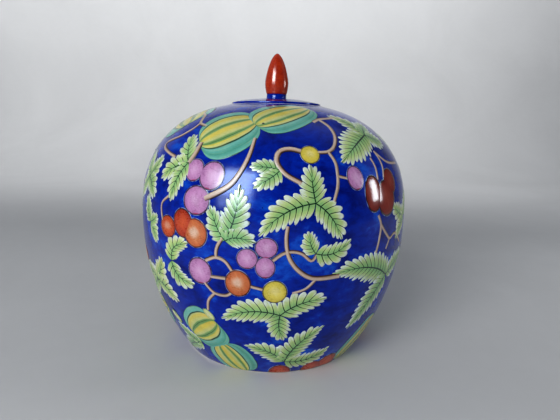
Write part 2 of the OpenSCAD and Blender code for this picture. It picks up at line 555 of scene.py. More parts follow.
def mixColour(tree, factor, first, second, blend="MIX"):
    node = addNode(tree, "ShaderNodeMix", {"Factor": factor}, data_type="RGBA", blend_type=blend)
    for index, value in ((6, first), (7, second)):
        if isinstance(value, bpy.types.NodeSocket):
            tree.links.new(value, node.inputs[index])
        else:
            node.inputs[index].default_value = (*value, 1)
    return node.outputs[2]


def newMaterial(name, look):
    # a Principled finish; its constants are set on the shader's own sockets
    material = bpy.data.materials.new(name)
    material.use_nodes = True
    tree = material.node_tree
    shader = tree.nodes["Principled BSDF"]
    for socket, value in look.items():
        shader.inputs[socket].default_value = value
    return material, tree, shader


def addRipple(tree, shader, values, strength, depth):
    height = groupNode(tree, rippleGroup, values)
    bump = addNode(tree, "ShaderNodeBump", {"Height": height, "Strength": strength, "Distance": depth})
    tree.links.new(bump.outputs[0], shader.inputs["Normal"])


cobalt = {
    "look": {"IOR": 1.5, "Specular IOR Level": 0.4, "Specular Tint": (0.5, 0.68, 1, 1), "Coat Weight": 0.03},
    "brush": {"Patch Scale": 34.0, "Streak Scale": 110.0, "Streaks": 0.38},
    "colours": [(0.34, (0.0, 0.004, 0.12)), (0.45, (0.0, 0.012, 0.23)), (0.54, (0.0, 0.022, 0.34)),
                (0.64, (0.006, 0.09, 0.55))],
    "specks": {"Scale": 160.0, "Size": 0.06},
    "speckColour": (0.0005, 0.002, 0.02),
    "roughness": (0.19, 0.13, 0.3, 0.7),
    "ripple": {"Wave Scale": 38.0, "Pit Scale": 700.0, "Pitting": 0.08},
    "rippleStrength": 0.25,
    "rippleDepth": 0.6 * mm,
}

porcelain = {
    "look": {"IOR": 1.45, "Specular IOR Level": 0.3},
    "brush": {"Patch Scale": 60.0, "Streak Scale": 420.0, "Streaks": 0.5},
    "colours": [(0.3, (0.55, 0.48, 0.38)), (0.48, (0.74, 0.7, 0.62)), (0.7, (0.84, 0.81, 0.75))],
    "specks": {"Scale": 420.0, "Size": 0.16},
    "speckColour": (0.2, 0.13, 0.08),
    "roughness": (0.6, 0.85),
    "ripple": {"Wave Scale": 160.0, "Pit Scale": 1500.0, "Pitting": 0.8},
    "rippleStrength": 0.4,
    "rippleDepth": 0.25 * mm,
}

clear = {
    "look": {"IOR": 1.5, "Coat Weight": 0.4, "Coat Roughness": 0.05},
    "brush": {"Patch Scale": 18.0, "Streak Scale": 130.0, "Streaks": 0.25},
    "colours": [(0.3, (0.6, 0.66, 0.62)), (0.5, (0.72, 0.76, 0.73)), (0.7, (0.8, 0.82, 0.8))],
    "specks": {"Scale": 190.0, "Size": 0.09},
    "speckColour": (0.12, 0.08, 0.05),
    "roughness": (0.1, 0.28),
    "ripple": {"Wave Scale": 55.0, "Pit Scale": 800.0, "Pitting": 0.1},
    "rippleStrength": 0.3,
    "rippleDepth": 0.5 * mm,
}

ironRed = {
    # worn thin in streaks down the bud
    "look": {"IOR": 1.5, "Specular IOR Level": 0.5, "Coat Weight": 0.15, "Coat Roughness": 0.05},
    "brush": {"Patch Scale": 90.0, "Streak Scale": 420.0, "Streaks": 0.5},
    "colours": [(0.3, (0.22, 0.012, 0.002)), (0.48, (0.38, 0.026, 0.003)), (0.62, (0.47, 0.045, 0.006)),
                (0.76, (0.56, 0.08, 0.016))],
    "specks": None,
    "roughness": (0.26, 0.14),
    "ripple": {"Wave Scale": 180.0, "Pit Scale": 1600.0, "Pitting": 0.3},
    "rippleStrength": 0.35,
    "rippleDepth": 0.25 * mm,
}


def makeGlaze(name, recipe):
    material, tree, shader = newMaterial(name, recipe["look"])
    mask = groupNode(tree, brushGroup, recipe["brush"])
    colour = colourRamp(tree, mask, recipe["colours"])
    if recipe["specks"]:
        specks = groupNode(tree, speckGroup, recipe["specks"])
        colour = mixColour(tree, specks, colour, recipe["speckColour"])
    tree.links.new(colour, shader.inputs["Base Color"])
    tree.links.new(ranged(tree, mask, *recipe["roughness"]), shader.inputs["Roughness"])
    addRipple(tree, shader, recipe["ripple"], recipe["rippleStrength"], recipe["rippleDepth"])
    return material


enamel = {
    "look": {"IOR": 1.5, "Specular IOR Level": 0.62, "Specular Tint": (0.76, 0.9, 1, 1), "Coat Weight": 0.1,
             "Coat Roughness": 0.05},
    "brush": {"Patch Scale": 140.0, "Streak Scale": 700.0, "Streaks": 0.5},
    "shades": [(0.3, (0.78, 0.78, 0.78)), (0.55, (1, 1, 1)), (0.75, (1.12, 1.12, 1.12))],
    "ripple": {"Wave Scale": 240.0, "Pit Scale": 1800.0, "Pitting": 0.2},
    "rippleStrength": 0.3,
    "rippleDepth": 0.15 * mm,
}


def finishEnamel(tree, shader, colour, roughness=(0.12, 0.3)):
    # painted colours share a faint blotching, a changing gloss and a fine ripple
    mask = groupNode(tree, brushGroup, enamel["brush"])
    shade = colourRamp(tree, mask, enamel["shades"])
    tree.links.new(mixColour(tree, 1.0, colour, shade, "MULTIPLY"), shader.inputs["Base Color"])
    tree.links.new(ranged(tree, mask, *roughness, 0.3, 0.7), shader.inputs["Roughness"])
    addRipple(tree, shader, enamel["ripple"], enamel["rippleStrength"], enamel["rippleDepth"])


def uvParts(tree):
    return splitVector(tree, addNode(tree, "ShaderNodeUVMap", uv_map="UVMap").outputs[0])


def readFact(tree, name):
    return addNode(tree, "ShaderNodeAttribute", attribute_name=name).outputs["Fac"]


def unevenly(tree, noise, amount):
    # pushes both ways by up to half the amount
    return times(tree, minus(tree, noise, 0.5), amount)


def makeLeafEnamel():
    material, tree, shader = newMaterial("leafEnamel", enamel["look"])
    index, across, _ = uvParts(tree)
    tint = readFact(tree, "tint")
    side = minus(tree, times(tree, across, 2), 1)
    out = doMath(tree, "ABSOLUTE", side)
    through = doMath(tree, "FRACT", index)
    vein = minus(tree, 0.5, doMath(tree, "ABSOLUTE", minus(tree, through, 0.5)))
    # fine brush hairs run along each leaflet, and push the cream tip in and out
    hairPlace = joinVector(tree, times(tree, index, 5), times(tree, side, 1.5), times(tree, tint, 40))
    hair = noiseAt(tree, hairPlace, 1.5, 3.0)
    leaflet = joinVector(tree, doMath(tree, "FLOOR", index), doMath(tree, "SIGN", side),
                         times(tree, tint, 90))
    own = addNode(tree, "ShaderNodeTexWhiteNoise", {"Vector": leaflet}).outputs["Value"]
    reach = plus(tree, out, unevenly(tree, hair, 0.5))
    reach = plus(tree, reach, unevenly(tree, own, 0.22))
    cool = colourRamp(tree, reach, [(0.12, (0.2, 0.45, 0.18)), (0.42, (0.3, 0.53, 0.23)),
                                    (0.64, (0.45, 0.61, 0.32)), (0.92, (0.64, 0.76, 0.74))])
    warm = colourRamp(tree, reach, [(0.12, (0.32, 0.53, 0.2)), (0.42, (0.47, 0.61, 0.21)),
                                    (0.64, (0.6, 0.67, 0.28)), (0.92, (0.7, 0.76, 0.6))])
    green = mixColour(tree, tint, cool, warm)
    # a dark line runs down each vein, and thins out before the notch
    veinWidth = ranged(tree, out, 0.085, 0.04, 0.1, 0.9)
    veinLine = ramped(tree, minus(tree, veinWidth, vein), -0.03, 0.02)
    midribLine = ramped(tree, out, 0.065, 0.03)
    line = doMath(tree, "MAXIMUM", veinLine, midribLine)
    finishEnamel(tree, shader, mixColour(tree, line, green, (0.006, 0.035, 0.02)))
    return material


def makeVineEnamel():
    # tan between two inked edges
    material, tree, shader = newMaterial("vineEnamel", enamel["look"])
    tan = colourRamp(tree, half(tree, readFact(tree, "across")),
                     [(0.0, (0.03, 0.012, 0.008)), (0.2, (0.05, 0.018, 0.01)), (0.28, (0.34, 0.2, 0.13)),
                      (0.5, (0.54, 0.41, 0.32)), (0.84, (0.6, 0.49, 0.4)), (0.9, (0.2, 0.1, 0.06)),
                      (0.95, (0.14, 0.07, 0.05)), (0.98, (0.3, 0.4, 0.62))])
    finishEnamel(tree, shader, tan, (0.28, 0.45))
    return material


def makeInkDot():
    material, tree, shader = newMaterial("inkDot", enamel["look"])
    mask = groupNode(tree, brushGroup, {"Patch Scale": 300.0, "Streak Scale": 900.0, "Streaks": 0.5})
    ink = colourRamp(tree, mask, [(0.3, (0.004, 0.012, 0.006)), (0.6, (0.008, 0.03, 0.012)),
                                  (0.8, (0.02, 0.06, 0.025))])
    finishEnamel(tree, shader, ink, (0.2, 0.4))
    return material


fruitPaints = {
    # colours from the middle to the outline; light is how strong the painted highlight is, a pale cream
    # patch that stands in for a reflection
    "pink": {"colours": ((0.6, 0.35, 0.57), (0.52, 0.25, 0.48), (0.38, 0.16, 0.36)),
             "rim": (0.05, 0.02, 0.06), "blossomEnd": (0.36, 0.02, 0.1)},
    "orange": {"colours": ((0.66, 0.3, 0.14), (0.58, 0.19, 0.065), (0.46, 0.1, 0.025)),
               "rim": (0.08, 0.012, 0.006), "light": 0.55},
    "yellow": {"colours": ((0.74, 0.66, 0.17), (0.68, 0.57, 0.09), (0.56, 0.45, 0.06)),
               "rim": (0.1, 0.08, 0.02), "light": 0.2},
    "darkRed": {"colours": ((0.33, 0.06, 0.035), (0.27, 0.035, 0.018), (0.19, 0.018, 0.01)),
                "rim": (0.03, 0.004, 0.004), "roughness": (0.08, 0.18)},
    "scarlet": {"colours": ((0.55, 0.09, 0.02), (0.47, 0.055, 0.012), (0.3, 0.02, 0.006)),
                "rim": (0.04, 0.004, 0.002)},
    "vermilion": {"colours": ((0.58, 0.13, 0.03), (0.52, 0.08, 0.012), (0.38, 0.04, 0.006)),
                  "rim": (0.08, 0.01, 0.004), "light": 0.3},
    "cream": {"colours": ((0.62, 0.62, 0.34), (0.6, 0.64, 0.32), (0.4, 0.52, 0.2)),
              "rim": (0.05, 0.09, 0.02), "light": 0.2},
}


def makeFruitEnamel(name, colours, rim, light=0, blossomEnd=None, roughness=(0.22, 0.36)):
    material, tree, shader = newMaterial(name, enamel["look"])
    u, v, _ = uvParts(tree)
    right = minus(tree, u, 0.5)
    up = minus(tree, v, 0.5)
    # rightOut and upOut reach 1 at the outline
    rightOut = times(tree, right, 2)
    upOut = times(tree, up, 2)
    ring = lengthOf(tree, joinVector(tree, rightOut, upOut, 0))
    strokePlace = joinVector(tree, times(tree, plus(tree, right, times(tree, up, 0.4)), 9),
                             times(tree, up, 2.5), times(tree, readFact(tree, "tint"), 9))
    strokes = noiseAt(tree, strokePlace, 0.9, 3.0)
    shifted = plus(tree, ring, unevenly(tree, strokes, 0.9))
    colour = colourRamp(tree, shifted, list(zip((0.1, 0.5, 0.95), colours)))
    if light:
        # painted highlight: a pale cream patch near the middle of the fruit, standing in for a reflection
        paintedHighlightPlace = joinVector(tree, plus(tree, rightOut, 0.05), minus(tree, times(tree, up, 2.6), 0.1), 0)
        near = plus(tree, lengthOf(tree, paintedHighlightPlace), unevenly(tree, strokes, 0.5))
        colour = mixColour(tree, times(tree, ramped(tree, near, 0.62, 0.1), light), colour, (0.72, 0.6, 0.5))
    if blossomEnd:
        endPlace = joinVector(tree, rightOut, times(tree, plus(tree, upOut, 0.98), 2.2), 0)
        colour = mixColour(tree, ramped(tree, lengthOf(tree, endPlace), 0.45, 0.3), colour, blossomEnd)
    colour = mixColour(tree, ramped(tree, ring, 0.86, 0.9), colour, rim)
    # a broken pale line shows outside the ink, where the blue was wiped away
    wiped = times(tree, ramped(tree, ring, 0.94, 0.97), ramped(tree, strokes, 0.4, 0.55))
    colour = mixColour(tree, wiped, colour, (0.26, 0.36, 0.62))
    finishEnamel(tree, shader, colour, roughness)
    return material


melonPaint = {
    "teal": (0.17, 0.47, 0.4),
    "deepTeal": (0.08, 0.34, 0.27),
    "green": (0.16, 0.33, 0.1),
    "yellow": (0.66, 0.56, 0.09),
    "pale": (0.55, 0.6, 0.25),
    "ink": (0.01, 0.06, 0.03),
    "blush": (0.68, 0.36, 0.03),
}


def melonStops():
    # each stop is a place across the melon, counted from a groove, and its colour
    first, second, third, fourth = melonGrooves
    stops = [
        (0.0, "ink"), (0.008, "ink"), (0.018, "teal"), (0.1, "deepTeal"), (first - 0.03, "teal"),
        (first - 0.008, "ink"), (first + 0.008, "ink"), (first + 0.02, "pale"),
        (second - 0.05, "yellow"), (second - 0.03, "green"), (second - 0.01, "green"), (second, "ink"),
        (second + 0.01, "green"), (second + 0.03, "green"), (second + 0.06, "pale"), (0.52, "yellow"),
        (third - 0.06, "yellow"), (third - 0.035, "green"), (third - 0.01, "green"), (third, "ink"),
        (third + 0.01, "green"), (third + 0.03, "green"), (third + 0.05, "pale"),
        (fourth - 0.06, "yellow"), (fourth - 0.02, "pale"), (fourth - 0.006, "ink"),
        (fourth + 0.008, "ink"), (fourth + 0.02, "teal"), (0.98, "teal"), (0.992, "ink"),
    ]
    return [(place, melonPaint[colour]) for place, colour in stops]


def makeMelonEnamel():
    material, tree, shader = newMaterial("melonEnamel", enamel["look"])
    meridian, along, _ = uvParts(tree)
    wanderPlace = joinVector(tree, 0, times(tree, along, 3), times(tree, readFact(tree, "tint"), 7))
    wander = unevenly(tree, noiseAt(tree, wanderPlace, 1.0, 1.0), 0.04)
    ribs = colourRamp(tree, plus(tree, meridian, wander), melonStops())
    streakPlace = joinVector(tree, times(tree, meridian, 30), times(tree, along, 2), 0)
    streak = noiseAt(tree, streakPlace, 1.0, 3.0)
    # orange blush towards one end of each yellow part, and greener ends
    blush = times(tree, ramped(tree, along, 0.45, 0.95), ramped(tree, streak, 0.35, 0.6))
    yellowish = ramped(tree, addNode(tree, "ShaderNodeSeparateColor", {0: ribs}).outputs[0], 0.3, 0.5)
    blush = times(tree, times(tree, blush, yellowish), 0.3)
    colour = mixColour(tree, blush, ribs, melonPaint["blush"])
    paleStreak = times(tree, ramped(tree, streak, 0.5, 0.7), 0.25)
    colour = mixColour(tree, paleStreak, colour, melonPaint["pale"])
    tip = doMath(tree, "ABSOLUTE", minus(tree, along, 0.5))
    colour = mixColour(tree, times(tree, ramped(tree, tip, 0.4, 0.5), 0.5), colour, melonPaint["green"])
    colour = mixColour(tree, ramped(tree, tip, 0.492, 0.497), colour, melonPaint["ink"])
    finishEnamel(tree, shader, colour)
    return material


cobaltGlaze = makeGlaze("cobaltGlaze", cobalt)
barePorcelain = makeGlaze("barePorcelain", porcelain)
clearGlaze = makeGlaze("clearGlaze", clear)
redEnamel = makeGlaze("redEnamel", ironRed)
leafEnamel = makeLeafEnamel()
vineEnamel = makeVineEnamel()
inkDot = makeInkDot()
fruitEnamels = {kind: makeFruitEnamel(kind + "Enamel", **paints) for kind, paints in fruitPaints.items()}
melonEnamel = makeMelonEnamel()
print("stage: finishes mixed")


def grow(name, host, tree, values, weld=False):
    # runs a node tree on a host mesh, and keeps the result as one plain mesh at the origin
    holder = bpy.data.objects.new(name + "Holder", host)
    scene.collection.objects.link(holder)
    modifier = holder.modifiers.new("build", "NODES")
    modifier.node_group = tree
    for item in tree.interface.items_tree:
        if item.in_out == "INPUT" and item.name in values:
            modifier[item.identifier] = values[item.name]
    bpy.context.view_layer.update()
    depsgraph = bpy.context.evaluated_depsgraph_get()
    grown = holder.evaluated_get(depsgraph)
    mesh = bpy.data.meshes.new_from_object(grown, preserve_all_data_layers=True, depsgraph=depsgraph)
    holder.modifiers.remove(modifier)
    bpy.data.objects.remove(holder)
    mesh.name = name
    if weld:
        solid = bmesh.new()
        solid.from_mesh(mesh)
        bmesh.ops.remove_doubles(solid, verts=solid.verts, dist=weldGap)
        bmesh.ops.recalc_face_normals(solid, faces=solid.faces)
        solid.to_mesh(mesh)
        solid.free()
    piece = bpy.data.objects.new(name, mesh)
    scene.collection.objects.link(piece)
    return piece


def turned(name, points, finishes, materials):
    outline = outlineObject(name + "Outline", points, finishes)
    host = bpy.data.meshes.new(name + "Host")
    values = {"Outline": outline, "Segments": jar["segments"], "First Finish": materials[0],
              "Second Finish": materials[1], "Third Finish": materials[2]}
    piece = grow(name, host, latheTree, values, weld=True)
    bpy.data.objects.remove(outline)
    return piece


def makeJarShell():
    inset = jar["paintDepth"]
    foot = jar["footRadius"]
    ringInside = foot - jar["ringStep"] - jar["ringWidth"]
    ringRound = jar["ringRound"]
    rounding = jar["edgeRound"]
    recess = jar["recess"]
    recessEdge = ringInside - jar["recessSlope"]
    recessRound = jar["recessRound"]
    mouth = jar["mouthRadius"]
    ledge = jar["ledgeHeight"]
    collarFoot = ledge - jar["collarDepth"]
    collarRadius = mouth + jar["wall"]
    inner = wallOutline(jar["wall"], jar["floor"] + jar["wall"], collarRadius, jar["bowlSteps"])
    bowlFloor = (inner[0][0] - jar["wall"], jar["floor"] + jar["wall"])
    points = []
    finishes = []

    def add(newPoints, finish):
        points.extend(newPoints)
        finishes.extend([finish] * len(newPoints))

    # glazed recess, bare foot ring, blue wall, bare ledge and mouth, glazed bowl
    add([(0, recess), (recessEdge, recess)], clearGlazed)
    add(arcPoints((recessEdge, recess - recessRound), recessRound, 90, 30), clearGlazed)
    add([(ringInside - 0.9 * mm, 0.9 * mm)], bareClay)
    add(arcPoints((ringInside, ringRound), ringRound, 200, 270), bareClay)
    add([(ringInside + 3 * mm, 0), (foot - 2.2 * mm, 0)], bareClay)
    add(arcPoints((foot - 1.4 * mm, rounding), rounding, 270, 330), bareClay)
    add([(lowerRadius(jar["glazeStart"], inset) - 0.15 * mm, jar["glazeStart"] - 0.1 * mm)], bareClay)
    add(wallOutline(inset, jar["glazeStart"], jar["ledgeRadius"] + 0.6 * mm, jar["wallSteps"]), blueGlazed)
    add(arcPoints((jar["ledgeRadius"] - 0.4 * mm, ledge - 0.5 * mm), 0.5 * mm, 40, 90), bareClay)
    add([(mouth + 4 * mm, ledge)], bareClay)
    add(arcPoints((mouth + rounding, ledge - rounding), rounding, 90, 180), bareClay)
    add(arcPoints((mouth + rounding, collarFoot + rounding), rounding, 180, 270), bareClay)
    add([(collarRadius - 1 * mm, collarFoot)], bareClay)
    add(list(reversed(inner)), clearGlazed)
    add(arcPoints(bowlFloor, jar["wall"], -10, -90, 6), clearGlazed)
    add([(20 * mm, jar["floor"]), (0, jar["floor"])], clearGlazed)
    shell = turned("jarShell", points, finishes, (cobaltGlaze, barePorcelain, clearGlaze))
    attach(shell, "jar")
    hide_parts("jar_body")


lid = {
    "radius": 34.3 * mm,
    "edge": 1.6 * mm,
    "dome": 5.4 * mm,
    "thickness": 4.2 * mm,
    "stemRadius": 7.7 * mm,
    "stemFlare": 0.9 * mm,
    "domePower": 2.2,
    "edgeRound": 0.5 * mm,
    "hollowRadius": 17 * mm,     # the underside is hollow this far out, and bare where it rests
    "hollowRise": 0.9 * mm,
    "restRadius": 20.6 * mm,
    "chamfer": 0.2 * mm,
    "domeSteps": 24,
    "seat": lidLow.z,
    "stemTop": lidHigh.z,
}


def domeHeight(radius):
    crown = lid["dome"] - lid["edge"]
    return lid["seat"] + lid["edge"] + crown * (1 - (radius / lid["radius"]) ** lid["domePower"])


def makeLid():
    edge = lid["radius"]
    rounding = lid["edgeRound"]
    seat = lid["seat"]
    foot = lid["stemRadius"] + lid["stemFlare"]
    points = [(0, seat + lid["dome"] - lid["thickness"]),
              (lid["hollowRadius"], seat + lid["hollowRise"]),
              (lid["restRadius"], seat), (27 * mm, seat)]
    points += arcPoints((edge - rounding, seat + rounding), rounding, 270, 360, 4)
    finishes = [clearGlazed] * 2 + [bareClay] * 4
    top = arcPoints((edge - rounding, domeHeight(edge - rounding) - rounding), rounding, 0, 84, 4)
    run = edge - rounding * 1.4 - foot
    radii = [foot + run * (1 - i / lid["domeSteps"]) for i in range(lid["domeSteps"] + 1)]
    dome = [(radius, domeHeight(radius)) for radius in radii]
    fillet = arcPoints((foot, dome[-1][1] + lid["stemFlare"]), lid["stemFlare"], 270, 180, 5)[1:]
    chamfer = lid["chamfer"]
    stem = [(lid["stemRadius"], lid["stemTop"] - chamfer), (lid["stemRadius"] - chamfer, lid["stemTop"]),
            (0, lid["stemTop"])]
    points += top + dome + fillet + stem
    finishes += [blueGlazed] * (len(points) - len(finishes))
    cap = turned("lidCap", points, finishes, (cobaltGlaze, barePorcelain, clearGlaze))
    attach(cap, "lid")
    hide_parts("lid_cap")


flange = {
    "thickness": 4 * mm,
    "rounding": 0.8 * mm,
    "straightStart": 4 * mm,
}


def makeFlange():
    outside = flangeHigh.x
    inside = outside - flange["thickness"]
    low = flangeLow.z
    rounding = flange["rounding"]
    straight = low + flange["straightStart"]
    points = [(inside, flangeHigh.z), (inside, straight)]
    points += arcPoints((inside + rounding, low + rounding), rounding, 180, 270)
    points += arcPoints((outside - rounding, low + rounding), rounding, 270, 360)
    points += [(outside, straight), (outside, flangeHigh.z), (inside, flangeHigh.z)]
    ring = turned("lidFlange", points, [bareClay] * len(points), (barePorcelain, barePorcelain, clearGlaze))
    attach(ring, "lid")
    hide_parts("lid_flange")


bud = {
    "stemRadius": 7.7 * mm,
    "radius": 9.05 * mm,
    "rise": 8.6 * mm,
    "tuckPower": 0.8,
    "taperPower": 1.4,
    "fullness": 0.56,
}


def makeBud():
    foot = budLow.z
    swell = bud["radius"] - bud["stemRadius"]
    taper = budHigh.z - foot - bud["rise"]
    points = [(0, foot), (bud["stemRadius"] - 0.3 * mm, foot)]
    for i in range(1, 17):
        share = i / 16
        radius = bud["stemRadius"] + swell * math.sin(math.pi / 2 * share) ** bud["tuckPower"]
        points.append((radius, foot + bud["rise"] * share))
    for i in range(1, 31):
        share = math.sin(math.pi / 2 * i / 30)
        radius = bud["radius"] * max(0, 1 - share ** bud["taperPower"]) ** bud["fullness"]
        points.append((radius, foot + bud["rise"] + taper * share))
    piece = turned("finialBud", points, [0.0] * len(points), (redEnamel, redEnamel, redEnamel))
    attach(piece, "lid")
    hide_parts("finial_bud")


makeJarShell()
makeLid()
makeFlange()
makeBud()
print("stage: turned pieces made")


def wallLine(inset, steps=110):
    return wallOutline(inset, 0, jar["ledgeRadius"], steps)


def radiusAt(climb):
    # the wall's radius after climbing it this many mm from the foot
    travelled = 0
    line = wallLine(jar["paintDepth"])
    for (radius, height), (nextRadius, nextHeight) in zip(line, line[1:]):
        step = math.hypot(nextRadius - radius, nextHeight - height)
        if travelled + step >= climb * mm:
            return radius + (nextRadius - radius) * max(0, climb * mm - travelled) / step
        travelled += step
    return line[-1][0]


def flatPlace(angle, climb, about):
    return math.radians(angle - about) * radiusAt(climb), climb * mm


def fillAttributes(mesh, columns):
    for name, values in columns.items():
        mesh.attributes.new(name, "FLOAT", "POINT").data.foreach_set("value", values)


def pathsMesh(name, paths):
    # a path is its own angle, its flat points, and facts: one value, or one for each point
    verts = []
    edges = []
    columns = {}
    for about, points, facts in paths:
        start = len(verts)
        verts += [(x, y, 0) for x, y in points]
        edges += [(start + i, start + i + 1) for i in range(len(points) - 1)]
        for key, value in {**facts, "turn": math.radians(about)}.items():
            values = value if isinstance(value, list) else [value] * len(points)
            columns.setdefault(key, []).extend(values)
    mesh = bpy.data.meshes.new(name)
    mesh.from_pydata(verts, edges, [])
    fillAttributes(mesh, columns)
    return mesh


def spotsMesh(name, spots, lift=0.03, base=0):
    # a spot is angle, climb, half width, half height and tilt; all but the first stand a lift higher
    angles, climbs, halfWidths, halfHeights, tilts = zip(*spots)
    levels = [base] + [base + lift] * (len(spots) - 1)
    mesh = bpy.data.meshes.new(name)
    mesh.from_pydata([(0, climb * mm, level * mm) for climb, level in zip(climbs, levels)], [], [])
    fillAttributes(mesh, {
        "turn": [math.radians(angle) for angle in angles],
        "halfWidth": [width * mm for width in halfWidths],
        "halfHeight": [height * mm for height in halfHeights],
        "tilt": [math.radians(tilt) for tilt in tilts],
        "tint": [random.random() for _ in spots],
    })
    return mesh


def cutAtFoot(piece):
    # the painting stops with the glaze, just above the table
    solid = bmesh.new()
    solid.from_mesh(piece.data)
    parts = list(solid.verts) + list(solid.edges) + list(solid.faces)
    cut = bmesh.ops.bisect_plane(solid, geom=parts, plane_co=(0, 0, jar["glazeStart"]),
                                 plane_no=(0, 0, 1), clear_inner=True)
    rim = [part for part in cut["geom_cut"] if isinstance(part, bmesh.types.BMEdge) and part.is_valid]
    bmesh.ops.holes_fill(solid, edges=rim, sides=0)
    bmesh.ops.recalc_face_normals(solid, faces=solid.faces)
    solid.to_mesh(piece.data)
    solid.free()


def paint(name, host, tree, finish, settings=None):
    values = {"Outline": glazeLine, "Enamel": finish, **(settings or {})}
    piece = grow(name, host, tree, values)
    cutAtFoot(piece)
    for helper in ("turn", "halfWidth", "halfHeight", "tilt", "girth", "reach", "heading", "along",
                   "midrib", "level", "leaflets", "lift"):
        if helper in piece.data.attributes:
            piece.data.attributes.remove(piece.data.attributes[helper])
    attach(piece, "jar")


glazeLine = outlineObject("glazeLine", wallLine(jar["paintDepth"]))

# every place is (degrees round the jar from its front, mm up the wall from its foot)
melons = [
    # angle, climb, half length, half width, tilt; lengths are in mm and angles in degrees
    (-23, 181.4, 21.5, 22, 36),
    (4.5, 201.5, 25.5, 18.5, 37),
    (-30.6, 42, 17.2, 18.6, 38),
    (-19.4, 16, 18, 16.4, 112),
    (-72, 196, 27, 21, -24),
    (-68, 42, 21, 17, 20),
    (53, 22, 25, 17, 62),
]

fruit = {
    # angle, climb, half width, half height, tilt
    "pink": [
        (-31, 151.8, 7.4, 7.7, 10), (-23, 149, 8.8, 9.6, -12), (-28, 133.2, 10.2, 9.5, 4),
        (-26.7, 88.8, 9.1, 9.4, 0), (-2.2, 107.6, 7.1, 6.7, 0), (-8.7, 100.4, 6.8, 6.7, 0),
        (-2.5, 95.3, 6.3, 7.2, 0), (31, 149, 6.6, 8.2, 8),
    ],
    "orange": [(-28, 113, 9.2, 9.6, 18), (-12.1, 83.8, 8.5, 9.4, 0)],
    "vermilion": [(-41.6, 113.8, 8, 7.6, 0)],
    "cream": [(-25.5, 57.2, 5.4, 2.7, -47), (-48.2, 43.6, 6.4, 3.4, -47)],
    "yellow": [(1, 79.2, 7.9, 8.1, 0), (13.5, 164.6, 6.4, 6.4, 0)],
    "darkRed": [(51.6, 144.8, 8.8, 9.4, 0), (47.4, 134.4, 11.4, 12.6, 0), (39.3, 138.2, 8.4, 12.4, 0)],
    "scarlet": [
        (5.2, 3, 8.2, 9.6, 0), (23.6, 4, 8, 8.6, 0), (33.8, 6.6, 9.4, 10, 0), (-33.6, 118, 8.4, 9.8, 12),
    ],
}

leaves = [
    # where the leaf springs from, then each lobe's tip, bend and reach of its leaflets
    ((-34.9, 156), [((-40.6, 176.5), -0.06, 7.4), ((-49, 145.7), 0.05, 8.2),
                    ((-41.2, 130.8), 0.06, 7)]),
    ((-60.8, 143), [((-53, 158), 0.06, 7), ((-52, 131.5), -0.06, 7.5),
                    ((-68, 161), -0.06, 7.5), ((-69, 128), 0.06, 7)]),
    ((-55, 113), [((-58.6, 130), -0.08, 6.6), ((-49.6, 101), -0.1, 6), ((-48.6, 118), 0.05, 5)]),
    ((-40.6, 91), [((-32.6, 108), -0.2, 7), ((-31, 75.5), 0.2, 7.2)]),
    ((-56, 70.5), [((-47, 88.5), 0.06, 8), ((-41.5, 61.5), -0.08, 8),
                   ((-69, 74), 0.1, 8), ((-66, 56), 0.04, 7)]),
    ((-16.4, 110.5), [((-22.4, 130.5), -0.05, 6.4), ((-11, 143.5), 0.06, 8.8),
                      ((-6.2, 112.5), -0.12, 7)]),
    ((2, 154), [((-8.8, 156.5), 0.04, 5.4), ((-6.8, 143), -0.04, 5.8)]),
    ((14.2, 134.4), [((-5.4, 116.6), 0.1, 8.2), ((12.8, 156.8), -0.03, 8),
                     ((24.7, 113), -0.08, 8)]),
    ((14.6, 104), [((11.4, 117), -0.08, 5.6), ((28.2, 108.6), 0.14, 6.6)]),
    ((3.2, 62), [((-20, 58.6), 0.12, 8.6), ((20, 75), -0.1, 8.2), ((4, 41), 0.06, 7.4)]),
    ((6.8, 17), [((-10.4, 35.6), 0.1, 7.6), ((20.4, 51.5), -0.1, 8.6), ((29.4, 24.6), 0.12, 7.8)]),
    ((52, 79.4), [((21.9, 92), 0.1, 10), ((35, 42.9), 0.04, 9.6), ((71, 90), -0.06, 8.4)]),
    ((49, 180.4), [((26.5, 160.3), 0.03, 10.5), ((36, 203), 0.06, 8),
                   ((60, 193), -0.06, 8), ((62, 173), 0.04, 8)]),
    ((66, 118), [((52, 127), -0.06, 7.6), ((56, 106), 0.06, 7.2), ((74, 134), -0.06, 8)]),
    ((-36, 24), [((-57, 7), 0.1, 7.6), ((-50.5, 36), -0.06, 6.6)]),
]

